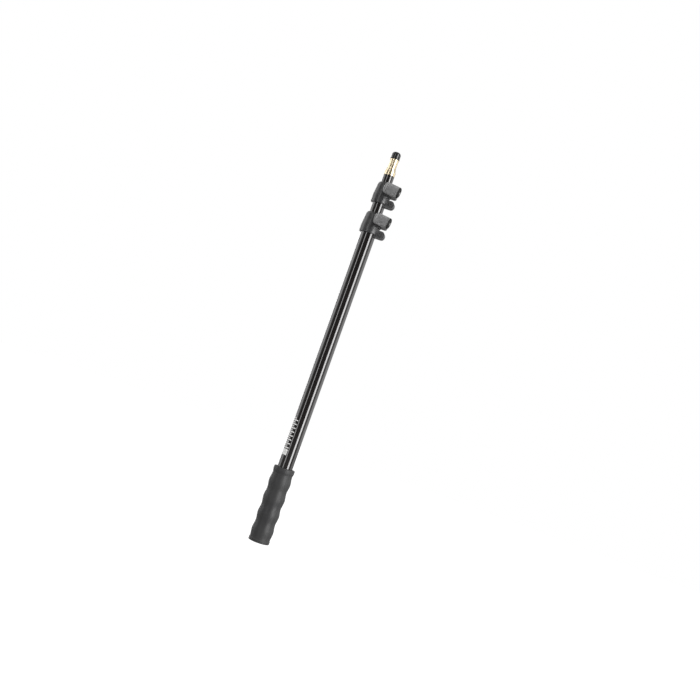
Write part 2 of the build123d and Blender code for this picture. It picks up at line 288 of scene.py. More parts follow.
bareMetal = dict(specular=0.5, coat=0.0, coatRough=0.1)
mouldedLooks = {
    "gripRubber": dict(
        grain=1500.0, cells=0.7, cloud=28.0, specks=0.10, wearScale=260.0, wear=0.25,
        dark=(0.019, 0.019, 0.020), light=grey(0.028), dust=grey(0.08),
        rubbed=(0.065, 0.064, 0.063), rough=0.52, polish=0.12, specular=0.45, bump=0.35,
        depth=0.12 * mm),
    "collarMoulding": dict(
        grain=3200.0, cells=0.6, cloud=60.0, specks=0.05, wearScale=500.0, wear=0.55,
        dark=(0.014, 0.014, 0.015), light=(0.023, 0.023, 0.024), dust=(0.07, 0.08, 0.08),
        rubbed=grey(0.10), rough=0.37, polish=0.10, specular=0.75, bump=0.3,
        depth=0.08 * mm),
    "knobMoulding": dict(
        grain=3600.0, cells=0.5, cloud=80.0, specks=0.05, wearScale=700.0, wear=0.7,
        dark=(0.15, 0.15, 0.152), light=grey(0.20), dust=grey(0.24),
        rubbed=grey(0.34), rough=0.42, polish=0.10, specular=0.5, bump=0.2,
        depth=0.06 * mm),
    # near-black and dull: painted shade on the knobs' right-end caps, which are really the knob's
    # own grey plastic
    "knobEndShadeMoulding": dict(
        grain=2600.0, cells=0.5, cloud=90.0, specks=0.08, wearScale=500.0, wear=0.3,
        dark=grey(0.006), light=grey(0.010), dust=grey(0.05),
        rubbed=grey(0.05), rough=0.62, polish=0.08, specular=0.22, bump=0.25,
        depth=0.08 * mm),
    "plugMoulding": dict(
        grain=2600.0, cells=0.5, cloud=60.0, specks=0.2, wearScale=400.0, wear=0.5,
        dark=(0.022, 0.022, 0.023), light=(0.034, 0.034, 0.035), dust=(0.10, 0.10, 0.09),
        rubbed=grey(0.08), rough=0.5, polish=0.1, specular=0.45, bump=0.35,
        depth=0.10 * mm),
    "nylon": dict(
        grain=2500.0, cells=0.3, cloud=90.0, specks=0.1, wearScale=500.0, wear=0.3,
        dark=(0.66, 0.65, 0.60), light=(0.78, 0.77, 0.73), dust=(0.45, 0.44, 0.41),
        rubbed=(0.55, 0.54, 0.52), rough=0.4, polish=0.1, specular=0.5, bump=0.15,
        depth=0.06 * mm),
    "capGloss": dict(
        grain=900.0, cells=0.2, cloud=90.0, specks=0.05, wearScale=600.0, wear=0.25,
        dark=grey(0.008), light=grey(0.013), dust=grey(0.06),
        rubbed=grey(0.05), rough=0.16, polish=0.0, specular=0.55, bump=0.05,
        depth=0.05 * mm),
    "printInk": dict(
        grain=2600.0, cells=0.3, cloud=160.0, specks=0.1, wearScale=900.0, wear=0.5,
        dark=(0.74, 0.74, 0.72), light=(0.86, 0.86, 0.85), dust=grey(0.5),
        rubbed=grey(0.40), rough=0.45, polish=0.0, specular=0.4, bump=0.1,
        depth=0.03 * mm),
}
metalLooks = {
    "tubeGloss": dict(
        across=2200.0, along=14.0, cloud=16.0, specks=0.06, wearScale=300.0, wear=0.5,
        dark=(0.0070, 0.0058, 0.0056), light=(0.011, 0.0092, 0.0088), rubbed=(0.10, 0.098, 0.095),
        scratches=0.05, rough=0.11, metallic=0.0, specular=0.75, coat=0.35, coatRough=0.05,
        bump=0.012, depth=0.01 * mm),
    "paleBrass": dict(
        across=60.0, along=9000.0, cloud=110.0, specks=0.04, wearScale=500.0, wear=0.35,
        dark=(0.70, 0.58, 0.38), light=(0.79, 0.68, 0.48), rubbed=(0.88, 0.80, 0.62),
        scratches=0.08, rough=0.27, metallic=1.0, **bareMetal,
        bump=0.02, depth=0.01 * mm),
    "blackSteel": dict(
        across=900.0, along=900.0, cloud=200.0, specks=0.2, wearScale=700.0, wear=0.5,
        dark=(0.020, 0.020, 0.021), light=(0.034, 0.034, 0.035), rubbed=(0.16, 0.16, 0.155),
        scratches=0.2, rough=0.38, metallic=0.0, **bareMetal,
        bump=0.10, depth=0.03 * mm),
    "zincSteel": dict(
        across=900.0, along=900.0, cloud=200.0, specks=0.2, wearScale=700.0, wear=0.4,
        dark=(0.48, 0.48, 0.47), light=(0.66, 0.66, 0.64), rubbed=(0.78, 0.78, 0.77),
        scratches=0.3, rough=0.30, metallic=1.0, **bareMetal,
        bump=0.12, depth=0.03 * mm),
}
materials = {name: mouldedMaterial(name, look) for name, look in mouldedLooks.items()}
materials.update({name: metalMaterial(name, look) for name, look in metalLooks.items()})
say("materials")


# meshes turned on a lathe, and CAD copies with softer corners

def rounded(points, radius, steps=4, closed=False):
    # the outline with each corner replaced by a short arc, except where two points meet on the axis
    result = []
    count = len(points)
    for index, point in enumerate(points):
        here = Vector(point)
        if not closed and index in (0, count - 1):
            result.append(tuple(here))
            continue
        before = Vector(points[index - 1]) - here
        after = Vector(points[(index + 1) % count]) - here
        turn = before.angle(after)
        if turn > math.radians(170):
            result.append(tuple(here))
            continue
        reach = min(radius / math.tan(turn / 2), before.length * 0.45, after.length * 0.45)
        start = here + before.normalized() * reach
        end = here + after.normalized() * reach
        for step in range(steps + 1):
            t = step / steps
            result.append(tuple((1 - t) ** 2 * start + 2 * t * (1 - t) * here + t ** 2 * end))
    return result


def quarter(steps):
    # the angles of a quarter turn, both ends included
    return [math.pi / 2 * step / steps for step in range(steps + 1)]


def lathe(bm, outline, around, place=Matrix.Identity(4), closed=True):
    # turns an outline of (radius, height) round Z; a point on the axis becomes a pole
    rings = []
    for radius, height in outline:
        turns = 1 if radius < 1e-7 else around
        angles = [2 * math.pi * step / turns for step in range(turns)]
        points = [Vector((radius * math.cos(a), radius * math.sin(a), height)) for a in angles]
        rings.append([bm.verts.new(place @ point) for point in points])
    pairs = list(zip(rings, rings[1:]))
    if closed:
        pairs.append((rings[-1], rings[0]))
    for low, high in pairs:
        joinRings(bm, low, high, around)


def joinRings(bm, low, high, around):
    for step in range(around):
        after = (step + 1) % around
        corners = [low[step % len(low)], low[after % len(low)], high[after % len(high)],
                   high[step % len(high)]]
        unique = list(dict.fromkeys(corners))
        if len(unique) > 2:
            bm.faces.new(unique)


wornFrom, wornRange = 10, 12        # degrees of corner where wear starts, and till it is full


def markEdges(bm):
    # 1 on a convex corner, 0 on a flat or hollow place, for the worn edges
    layer = bm.verts.layers.float.new("edge")
    for vert in bm.verts:
        sharpest = 0.0
        for edge in vert.link_edges:
            if len(edge.link_faces) == 2:
                sharpest = max(sharpest, edge.calc_face_angle_signed(0.0))
        vert[layer] = min(1.0, max(0.0, (math.degrees(sharpest) - wornFrom) / wornRange))


def makePiece(name, bm, material, sharp=50):
    bmesh.ops.remove_doubles(bm, verts=bm.verts, dist=1e-7)
    bmesh.ops.recalc_face_normals(bm, faces=bm.faces)
    bm.normal_update()
    markEdges(bm)
    mesh = bpy.data.meshes.new(name)
    bm.to_mesh(mesh)
    bm.free()
    mesh.materials.append(materials[material])
    mesh.polygons.foreach_set("use_smooth", [True] * len(mesh.polygons))
    mesh.set_sharp_from_angle(angle=math.radians(sharp))
    piece = bpy.data.objects.new(name, mesh)
    bpy.context.scene.collection.objects.link(piece)
    return piece


def turnPiece(name, outline, around, material, place=Matrix.Identity(4)):
    # a solid of revolution whose outline starts and ends on the axis
    bm = bmesh.new()
    lathe(bm, outline, around, place, closed=False)
    return makePiece(name, bm, material)


def settle(piece, body, slotName, *nodes):
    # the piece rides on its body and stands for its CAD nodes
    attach(piece, body)
    if nodes:
        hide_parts(*nodes)


def bakeModifiers(piece):
    # the evaluated mesh takes the place of the modifiers
    graph = bpy.context.evaluated_depsgraph_get()
    result = bpy.data.meshes.new_from_object(piece.evaluated_get(graph), depsgraph=graph,
                                             preserve_all_data_layers=True)
    piece.modifiers.clear()
    old = piece.data
    piece.data = result
    result.name = piece.name
    if old.users == 0:
        bpy.data.meshes.remove(old)


softening = {
    "merge": 2e-6,          # metres
    "flat": 0.6,            # degrees between faces that become one
    "corner": 32,           # degrees from which a corner is rounded
    "sharp": 60,            # degrees from which it shades as an edge
    "segments": 2,
}


def softened(name, node, material, width):
    # a merged copy of a CAD node with its corners rounded over by width
    bm = bmesh.new()
    bm.from_mesh(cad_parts[node].data)
    bmesh.ops.remove_doubles(bm, verts=bm.verts, dist=softening["merge"])
    bmesh.ops.dissolve_limit(bm, angle_limit=math.radians(softening["flat"]), verts=bm.verts,
                             edges=bm.edges)
    piece = makePiece(name, bm, material)
    bevel = piece.modifiers.new("corners", "BEVEL")
    bevel.width = width
    bevel.segments = softening["segments"]
    bevel.limit_method = "ANGLE"
    bevel.angle_limit = math.radians(softening["corner"])
    bevel.use_clamp_overlap = True
    bevel.miter_outer = "MITER_ARC"
    bakeModifiers(piece)
    bm = bmesh.new()
    bm.from_mesh(piece.data)
    for layer in list(bm.verts.layers.float):
        bm.verts.layers.float.remove(layer)
    bm.normal_update()
    markEdges(bm)
    bm.to_mesh(piece.data)
    bm.free()
    piece.data.set_sharp_from_angle(angle=math.radians(softening["sharp"]))
    weighted = piece.modifiers.new("flats", "WEIGHTED_NORMAL")
    weighted.keep_sharp = True
    bakeModifiers(piece)
    return piece


# trees for what repeats: the knurl's points and the mark's bars

def startTree(name, **inputs):
    tree = bpy.data.node_groups.new(name, "GeometryNodeTree")
    tree.is_modifier = True
    socketIn(tree, "Geometry", "NodeSocketGeometry")
    for label, value in inputs.items():
        kind = "NodeSocketInt" if isinstance(value, int) else "NodeSocketFloat"
        socketIn(tree, label, kind, value)
    socketIn(tree, "Material", "NodeSocketMaterial")
    socketOut(tree, "Geometry", "NodeSocketGeometry")
    return tree, *groupEnds(tree)


def endTree(tree, start, end, instances):
    # every tree ends in real geometry with its material set
    real = addNode(tree, "GeometryNodeRealizeInstances", 500, 0)
    paint = addNode(tree, "GeometryNodeSetMaterial", 700, 0)
    tree.links.new(instances, real.inputs[0])
    tree.links.new(real.outputs[0], paint.inputs["Geometry"])
    tree.links.new(start["Material"], paint.inputs["Material"])
    tree.links.new(paint.outputs[0], end[0])


def growPiece(name, tree, material, place, **values):
    # runs a tree on an empty mesh with these sizes, and moves the result to its place
    piece = bpy.data.objects.new(name, bpy.data.meshes.new(name))
    bpy.context.scene.collection.objects.link(piece)
    modifier = piece.modifiers.new("grow", "NODES")
    modifier.node_group = tree
    sockets = {item.name: item.identifier for item in tree.interface.items_tree
               if item.item_type == "SOCKET" and item.in_out == "INPUT"}
    for label, value in values.items():
        modifier[sockets[label]] = value
    modifier[sockets["Material"]] = materials[material]
    bakeModifiers(piece)
    piece.data.transform(place)
    piece.data.update()
    return piece


seamNudge = 0.05 * mm
pointSides = 4
pointTop = 0.28             # a point's flat top, as a share of its foot


def makeKnurlTree():
    # small four-sided points on a slanted grid, trimmed to a sheet and bent round the X axis
    tree, start, end = startTree("knurlField", Side=0.03, Count=20, Half_Length=0.01,
                                 Half_Girth=0.02, Radius=0.008, Point_Radius=0.0008,
                                 Point_Height=0.0004)
    grid = addNode(tree, "GeometryNodeMeshGrid", -850, 250)
    for label in ("Size X", "Size Y"):
        tree.links.new(start["Side"], grid.inputs[label])
    for label in ("Vertices X", "Vertices Y"):
        tree.links.new(start["Count"], grid.inputs[label])
    turn = addNode(tree, "GeometryNodeTransform", -650, 250)
    turn.inputs["Rotation"].default_value = (0, 0, math.radians(45))
    tree.links.new(grid.outputs["Mesh"], turn.inputs["Geometry"])
    flat = addNode(tree, "ShaderNodeSeparateXYZ", -650, -50)
    tree.links.new(addNode(tree, "GeometryNodeInputPosition", -850, -50).outputs[0], flat.inputs[0])
    # the seam's row is kept on one side only
    nudged = mathNode(tree, "ADD", -500, -250, flat.outputs["Y"], seamNudge)
    edges = ((flat.outputs["X"], "Half_Length", 0), (nudged, "Half_Girth", -200))
    outside = mathNode(tree, "MAXIMUM", -100, -100, *[
        mathNode(tree, "GREATER_THAN", -250, y, mathNode(tree, "ABSOLUTE", -400, y, value),
                 start[label])
        for value, label, y in edges])
    trim = addNode(tree, "GeometryNodeDeleteGeometry", -450, 250, domain="POINT")
    tree.links.new(turn.outputs[0], trim.inputs["Geometry"])
    tree.links.new(outside, trim.inputs["Selection"])
    spread = mathNode(tree, "DIVIDE", -500, -500, start["Half_Girth"], math.pi)
    angle = mathNode(tree, "DIVIDE", -400, -400, flat.outputs["Y"], spread)
    bent = addNode(tree, "ShaderNodeCombineXYZ", 0, -350)
    tree.links.new(flat.outputs["X"], bent.inputs["X"])
    for axis, operation in (("Y", "SINE"), ("Z", "COSINE")):
        along = mathNode(tree, operation, -250, -400, angle)
        tree.links.new(mathNode(tree, "MULTIPLY", -120, -400, along, start["Radius"]),
                       bent.inputs[axis])
    wrap = addNode(tree, "GeometryNodeSetPosition", -250, 250)
    tree.links.new(trim.outputs[0], wrap.inputs["Geometry"])
    tree.links.new(bent.outputs[0], wrap.inputs["Position"])
    point = addNode(tree, "GeometryNodeMeshCone", 0, 500)
    point.inputs["Vertices"].default_value = pointSides
    tree.links.new(start["Point_Radius"], point.inputs["Radius Bottom"])
    tree.links.new(mathNode(tree, "MULTIPLY", -200, 600, start["Point_Radius"], pointTop),
                   point.inputs["Radius Top"])
    tree.links.new(start["Point_Height"], point.inputs["Depth"])
    # each point stands square on the bar: turned back about X by its own angle
    onBar = addNode(tree, "ShaderNodeSeparateXYZ", 0, 0)
    tree.links.new(addNode(tree, "GeometryNodeInputPosition", -150, 0).outputs[0], onBar.inputs[0])
    ownAngle = mathNode(tree, "ARCTAN2", 130, -50, onBar.outputs["Y"], onBar.outputs["Z"])
    lean = mathNode(tree, "MULTIPLY", 250, -50, ownAngle, -1.0)
    euler = addNode(tree, "ShaderNodeCombineXYZ", 330, -50)
    tree.links.new(lean, euler.inputs["X"])
    turnTo = addNode(tree, "FunctionNodeEulerToRotation", 330, -150)
    tree.links.new(euler.outputs[0], turnTo.inputs[0])
    place = addNode(tree, "GeometryNodeInstanceOnPoints", 350, 250)
    tree.links.new(wrap.outputs[0], place.inputs["Points"])
    tree.links.new(point.outputs["Mesh"], place.inputs["Instance"])
    tree.links.new(turnTo.outputs[0], place.inputs["Rotation"])
    endTree(tree, start, end, place.outputs["Instances"])
    return tree


def makeBarTree():
    # a row of thin bars along Z, bent round a tube
    tree, start, end = startTree("bentBars", Count=8, Pitch=0.003, Bar_Width=0.008,
                                 Bar_Height=0.0015, Radius=0.011, Thickness=0.00006)
    step = addNode(tree, "ShaderNodeCombineXYZ", -650, 300)
    tree.links.new(start["Pitch"], step.inputs["Z"])
    row = addNode(tree, "GeometryNodeMeshLine", -450, 300)
    tree.links.new(start["Count"], row.inputs["Count"])
    tree.links.new(step.outputs[0], row.inputs["Offset"])
    size = addNode(tree, "ShaderNodeCombineXYZ", -650, 0)
    for axis, label in (("X", "Bar_Width"), ("Y", "Thickness"), ("Z", "Bar_Height")):
        tree.links.new(start[label], size.inputs[axis])
    bar = addNode(tree, "GeometryNodeMeshCube", -450, 0)
    bar.inputs["Vertices X"].default_value = 13
    tree.links.new(size.outputs[0], bar.inputs["Size"])
    place = addNode(tree, "GeometryNodeInstanceOnPoints", -250, 200)
    tree.links.new(row.outputs["Mesh"], place.inputs["Points"])
    tree.links.new(bar.outputs["Mesh"], place.inputs["Instance"])
    real = addNode(tree, "GeometryNodeRealizeInstances", -100, 200)
    tree.links.new(place.outputs[0], real.inputs[0])
    split = addNode(tree, "ShaderNodeSeparateXYZ", -250, -150)
    spot = addNode(tree, "GeometryNodeInputPosition", -400, -150).outputs[0]
    tree.links.new(spot, split.inputs[0])
    angle = mathNode(tree, "DIVIDE", -100, -150, split.outputs["X"], start["Radius"])
    out = mathNode(tree, "SUBTRACT", -100, -300, start["Radius"], split.outputs["Y"])
    bent = addNode(tree, "ShaderNodeCombineXYZ", 150, -200)
    aside = mathNode(tree, "MULTIPLY", 50, -150, mathNode(tree, "SINE", 0, -100, angle), out)
    tree.links.new(aside, bent.inputs["X"])
    depth = mathNode(tree, "MULTIPLY", 50, -300, mathNode(tree, "COSINE", 0, -250, angle), out)
    tree.links.new(mathNode(tree, "MULTIPLY", 100, -300, depth, -1.0), bent.inputs["Y"])
    tree.links.new(split.outputs["Z"], bent.inputs["Z"])
    wrap = addNode(tree, "GeometryNodeSetPosition", 300, 100)
    tree.links.new(real.outputs[0], wrap.inputs["Geometry"])
    tree.links.new(bent.outputs[0], wrap.inputs["Position"])
    endTree(tree, start, end, wrap.outputs[0])
    return tree


knurlTree = makeKnurlTree()
barTree = makeBarTree()
say("mesh and tree helpers")


# grip sleeve and butt plug

gripShape = {
    "around": 144,          # points round the sleeve
    "swells": 4,
    "rowsPerSwell": 22,
    "rowsPerNeck": 6,
    "swellWall": 4.88 * mm,  # these four are thicknesses round the tube
    "valleyWall": 3.5 * mm,
    "neckWall": 3.8 * mm,
    "rimWall": 4.4 * mm,
    "rimHeight": 4.5 * mm,
    "lowerNeck": 0.5 * mm,  # from each rim to the neck beside it
    "upperNeck": 5.0 * mm,
    "edge": 1.1 * mm,
    "rimGroove": 0.35 * mm,
    "grooveMiddle": 2.3 * mm,   # height of the groove round the lower rim
    "grooveHalf": 0.4 * mm,
    "grooveFloorHalf": 0.2 * mm,
    "boreLip": 4.0 * mm,
    "seamDepth": 0.10 * mm,
    "seamWidth": 0.2 * mm,
    "seamEnds": 1.0 * mm,
    "seamWall": 2.0 * mm,   # only the outer side has the seam
}
plugShape = {
    "flange": 2.5 * mm,     # its height, inside the grip's lower rim
    "dimple": 4.0 * mm,
    "dimpleDepth": 0.6 * mm,
    "grooveInner": 8.6 * mm,
    "grooveOuter": 9.6 * mm,
    "grooveDepth": 0.4 * mm,
    "grooveSlope": 0.2 * mm,
    "corner": 0.3 * mm,
    "around": 96,
}
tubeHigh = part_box("outer_tube")[1]
gripLow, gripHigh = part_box("grip_sleeve")
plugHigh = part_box("butt_plug")[1]


def gripOutline(shape):
    tube = tubeHigh.x
    length = gripHigh.z - gripLow.z
    neck = shape["rimHeight"] + shape["lowerNeck"]
    pitch = (length - shape["rimHeight"] - shape["upperNeck"] - neck) / shape["swells"]
    rim = tube + shape["rimWall"]
    bore = tube + gap
    flange = plugHigh.x + gap
    groove, middle = rim - shape["rimGroove"], shape["grooveMiddle"]
    half, floorHalf = shape["grooveHalf"], shape["grooveFloorHalf"]
    stations = [(rim, shape["rimHeight"]), (tube + shape["neckWall"], neck)]
    for swell in range(shape["swells"]):
        bottom = neck + swell * pitch
        stations.append((tube + shape["swellWall"], bottom + pitch / 2))
        stations.append((tube + shape["valleyWall"], bottom + pitch))
    stations.append((rim, length - shape["rimHeight"]))
    side = []
    for (r1, z1), (r2, z2) in zip(stations, stations[1:]):
        rows = shape["rowsPerSwell"] // 2 if z2 - z1 > pitch / 3 else shape["rowsPerNeck"]
        for row in range(rows):
            t = row / rows
            ease = (1 - math.cos(math.pi * t)) / 2
            side.append((r1 + (r2 - r1) * ease, z1 + (z2 - z1) * t))
    side.append(stations[-1])
    lower = rounded([(flange, 0), (rim, 0), (rim, middle - half), (groove, middle - floorHalf),
                     (groove, middle + floorHalf), (rim, middle + half), (rim, shape["rimHeight"])],
                    shape["edge"])
    upper = rounded([side[-1], (rim, length), (bore, length), (bore, length - shape["boreLip"])],
                    shape["edge"])
    inside = [(bore, plugHigh.z / 2), (bore, plugShape["flange"]), (flange, plugShape["flange"])]
    return lower[:-1] + side[:-1] + upper + inside


def makeGrip():
    shape = gripShape
    bm = bmesh.new()
    lathe(bm, gripOutline(shape), shape["around"])
    inner, ends = tubeHigh.x + shape["seamWall"], shape["seamEnds"]
    for vert in bm.verts:               # the mould's two parting lines, at the sides
        radius = math.hypot(vert.co.x, vert.co.y)
        onSeam = abs(vert.co.y) < shape["seamWidth"] and ends < vert.co.z < gripHigh.z - ends
        if radius > inner and onSeam:
            vert.co.x -= math.copysign(shape["seamDepth"], vert.co.x)
    piece = makePiece("gripSleeve", bm, "gripRubber", 40)
    settle(piece, "handle", "grip_rubber", "grip_sleeve")


def makePlug():
    shape = plugShape
    radius, top, flange = plugHigh.x, plugHigh.z, shape["flange"]
    stem = tubeHigh.x - tubeWall - gap
    dimple, dimpleDepth = shape["dimple"], shape["dimpleDepth"]
    inner, outer = shape["grooveInner"], shape["grooveOuter"]
    depth, slope = shape["grooveDepth"], shape["grooveSlope"]
    outline = rounded([(0, dimpleDepth), (dimple, dimpleDepth), (dimple + dimpleDepth, 0),
                       (inner, 0), (inner + slope, depth), (outer - slope, depth), (outer, 0),
                       (radius, 0), (radius, flange), (stem, flange), (stem, top), (0, top)],
                      shape["corner"])
    plug = turnPiece("buttPlug", outline, shape["around"], "plugMoulding")
    settle(plug, "handle", "plug_plastic", "butt_plug")


makeGrip()
makePlug()
say("grip and butt plug")


# printed mark on the outer tube

markShape = {
    "turn": -38.0,          # degrees from the front, towards the left
    "bottom": 128.0 * mm,
    "blockHeight": 8.4 * mm,
    "width": 9.0 * mm,
    "gap": 2.4 * mm,
    "barHeight": 1.5 * mm,
    "pitch": 2.9 * mm,
    "longBars": 8,
    "shortWidth": 0.55,     # the short bars' shares of the long ones' width and height
    "shortHeight": 0.7,
    "shortSlide": -0.22,    # how far aside they stand, as a share of the width
    "ink": 0.08 * mm,
}


def makeMark():
    # a plain block and a ladder of bars, in place of any lettering
    shape = markShape
    width, block, tall = shape["width"], shape["blockHeight"], shape["barHeight"]
    turn = Matrix.Rotation(math.radians(shape["turn"]), 4, "Z")
    shared = dict(Radius=tubeHigh.x, Thickness=shape["ink"], Pitch=2 * shape["pitch"])
    rowStart = shape["bottom"] + block + shape["gap"]
    rows = (                # name, how many, height on the tube, width, height of each, turn aside
        ("printBlock", 1, shape["bottom"] + block / 2, width, block, 0),
        ("printLongBars", shape["longBars"], rowStart, width, tall, 0),
        ("printShortBars", shape["longBars"], rowStart + shape["pitch"],
         width * shape["shortWidth"], tall * shape["shortHeight"],
         width * shape["shortSlide"] / tubeHigh.x),
    )
    for name, count, height, barWidth, barHeight, slide in rows:
        place = Matrix.Translation((0, 0, height)) @ Matrix.Rotation(slide, 4, "Z") @ turn
        bars = growPiece(name, barTree, "printInk", place, Count=count, Bar_Width=barWidth,
                         Bar_Height=barHeight, **shared)
        settle(bars, "handle", "tube_black")


makeMark()
say("printed mark")


# clamps and their knobs

knobShape = {
    "width": 24.0 * mm,
    "radius": 8.1 * mm,
    "endRound": 3.0 * mm,
    "border": 0.2 * mm,     # smooth band between each end's round and the knurl
    "sink": 0.40 * mm,      # how deep the knurl's floor lies
    "sinkSlope": 0.35 * mm,
    "tilt": 7.5,            # degrees, right end down
    "dimple": 3.4 * mm,     # in the left end
    "dimpleDepth": 0.5 * mm,
    "dimpleSlope": 0.6 * mm,
    "hub": 7.0 * mm,
    "hubCorner": 0.5 * mm,
    "hubAround": 64,
    "insert": 4.45 * mm,
    "around": 96,
}
knurlShape = {
    "rows": 32,             # points round the bar
    "pointHeight": 0.46 * mm,
    "pointShare": 0.70,     # a point's foot, as a share of the spacing
    "pointSunk": 0.08 * mm,
    "margin": 0.4 * mm,     # bare floor at each end
}
knobEndShape = {
    "dish": 4.3 * mm,       # radius of the dish in the right end's cap
    "dishDepth": 0.8 * mm,
    "dishSlope": 0.5 * mm,
    "seam": 0.04 * mm,      # between the cap and the bar
    "seamLip": 0.2 * mm,
    "pin": 1.2 * mm,
    "pinHead": 2.1 * mm,
    "pinTop": -0.05 * mm,   # the dome's top, above the bar's end
    "pinDome": 0.45 * mm,
    "pinSunk": 0.2 * mm,    # the head's foot, below the dish
    "pinAround": 32,
    "domeSteps": 8,
}


def knobPlace(clamp):
    # the knob's middle on the bolt's line, with X turned along its bar
    low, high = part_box(clamp + "_clamp_washer")
    centre = (low + high) / 2
    tilt = Matrix.Rotation(math.radians(knobShape["tilt"]), 4, "Y")
    return Matrix.Translation((centre.x, 0, centre.z)) @ tilt


def roundEnd(radius, end, size, steps=6):
    # the quarter circle from a bar's side, at radius, to its end face
    return [(radius - size + size * math.cos(a), end + math.copysign(size, end) * (math.sin(a) - 1))
            for a in quarter(steps)]


def makeKnob(clamp):
    shape = knobShape
    place = knobPlace(clamp)
    low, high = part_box(clamp + "_knob")
    start, axisY = high.y, low.y + shape["radius"]
    onAxis = place @ Matrix.Translation((0, axisY, 0))
    alongBar = onAxis @ Matrix.Rotation(math.radians(90), 4, "Y")           # turns Z to +X
    radius, half, insert = shape["radius"], shape["width"] / 2, shape["insert"]
    floor, slope = radius - shape["sink"], shape["sinkSlope"]
    endRound = shape["endRound"]
    band = half - endRound - shape["border"]
    dimple, dimpleFloor = shape["dimple"], shape["dimpleDepth"] - half
    outline = [(0, dimpleFloor), (dimple, dimpleFloor), (dimple + shape["dimpleSlope"], -half)]
    outline += roundEnd(radius, -half, endRound)[::-1]
    outline += [(radius, -band), (floor, slope - band), (floor, band - slope), (radius, band)]
    outline += [(radius, half - endRound), (0, half - endRound)]
    bm = bmesh.new()
    lathe(bm, outline, shape["around"], alongBar, closed=False)
    hub = rounded([(insert, start), (shape["hub"], start), (shape["hub"], axisY), (insert, axisY)],
                  shape["hubCorner"], closed=True)
    alongY = place @ Matrix.Rotation(math.radians(-90), 4, "X")             # turns Z to +Y
    lathe(bm, hub, shape["hubAround"], alongY)
    settle(makePiece(clamp + "Knob", bm, "knobMoulding"), clamp + "_knob", "knob_plastic",
           clamp + "_knob")
    makeKnurl(clamp, onAxis, floor, band)
    makeKnobEnd(clamp, alongBar, half)


def makeKnurl(clamp, onAxis, floor, band):
    # an even number of points closes the field on itself
    shape = knurlShape
    halfGirth = math.pi * floor
    halfLength = band - shape["margin"]
    spacing = 2 * halfGirth / (shape["rows"] * math.sqrt(2))
    count = 2 * math.ceil((halfLength + halfGirth) / (math.sqrt(2) * spacing))
    field = growPiece(clamp + "KnobKnurl", knurlTree, "knobMoulding", onAxis, Side=count * spacing,
                      Count=count + 1, Half_Length=halfLength - spacing / math.sqrt(2),
                      Half_Girth=halfGirth, Radius=floor - shape["pointSunk"],
                      Point_Radius=spacing * shape["pointShare"], Point_Height=shape["pointHeight"])
    settle(field, clamp + "_knob", "knob_plastic")


def makeKnobEnd(clamp, alongBar, half):
    # a dished cap over the right end of the bar, coloured near-black as painted shade on the knob's
    # grey plastic, and the dome-ended pin through it
    shape = knobEndShape
    radius, endRound = knobShape["radius"], knobShape["endRound"]
    dish, dishFloor = shape["dish"], half - shape["dishDepth"]
    seam, lip = half - endRound + shape["seam"], shape["seamLip"]
    cap = [(0, dishFloor), (dish - shape["dishSlope"], dishFloor), (dish, half)]
    cap += roundEnd(radius, half, endRound)[::-1]
    cap[-1] = (radius, seam + lip)
    cap += [(radius - lip, seam), (0, seam)]
    # the cap's near-black colour is painted shade, not a different plastic
    piece = turnPiece(clamp + "KnobShadedEndCap", cap, knobShape["around"], "knobEndShadeMoulding", alongBar)
    settle(piece, clamp + "_knob", "knob_plastic")
    head, top = shape["pinHead"], half + shape["pinTop"]
    dome = [(head * math.cos(a), top - shape["pinDome"] * (1 - math.sin(a)))
            for a in quarter(shape["domeSteps"])[:-1]]
    seat, foot = knobShape["insert"] + gap, dishFloor - shape["pinSunk"]
    pin = [(0, seat), (shape["pin"], seat), (shape["pin"], foot), (head, foot)] + dome + [(0, top)]
    piece = turnPiece(clamp + "KnobPin", pin, shape["pinAround"], "zincSteel", alongBar)
    settle(piece, clamp + "_knob", "zinc_steel", clamp + "_knob_pin")


clampParts = {              # each CAD copy's finish and slot, and how much its corners are rounded
    "collar": ("collarMoulding", "collar_plastic", 0.45 * mm),
    "clamp_bolt": ("zincSteel", "zinc_steel", 0.25 * mm),
    "clamp_washer": ("zincSteel", "zinc_steel", 0.2 * mm),
    "pinch_screw": ("blackSteel", "black_steel", 0.15 * mm),
    "pinch_nut": ("blackSteel", "black_steel", 0.25 * mm),
}


def camel(clamp, part):
    return clamp + "".join(word.capitalize() for word in part.split("_"))


for clamp in clampNames:
    for part, (finish, slotName, width) in clampParts.items():
        node = f"{clamp}_{part}"
        piece = softened(camel(clamp, part), node, finish, width)
        body = clamp + "_washer" if part == "clamp_washer" else fixedBody[clamp]
        settle(piece, body, slotName, node)
    makeKnob(clamp)
say("clamps and knobs")


# spigot, its stud and the tip cap

spigotShape = {
    "ringHeight": 7.0 * mm,
    "bevel": 0.5 * mm,
    "corner": 0.15 * mm,
    "shoulder": 0.75 * mm,  # how far inside the ring the taper starts
    "taper": 6.0 * mm,
    "taperSteps": 10,
    "waist": 6.15 * mm,
    "lip": 6.65 * mm,
    "lipHeight": 3.0 * mm,
    "lipEdge": 0.3 * mm,
    "lipSteps": 8,
    "stud": 4.81 * mm,      # radius of the hole that the stud stands in
    "studDepth": 10.0 * mm,
    "studCorner": 0.1 * mm,
    "around": 128,
}
threadShape = {
    "pitch": 1.5875 * mm,
    "depth": 0.86 * mm,
    "flank": 2.3,           # steepness, and how flat the root is
    "rootFlat": 0.07,
    "topFade": 1.4,         # the thread ends sooner at the top
    "stepsPerTurn": 40,
    "rowsPerPitch": 10,
}
capShape = {
    "dome": 4.6 * mm,
    "domeSteps": 12,
    "bead": 0.35 * mm,
    "beadHeight": 1.2 * mm,
    "beadSlope": 0.3 * mm,
    "corner": 0.3 * mm,
    "wallGap": 5.06 * mm,
    "studGap": 0.3 * mm,
    "around": 96,
}


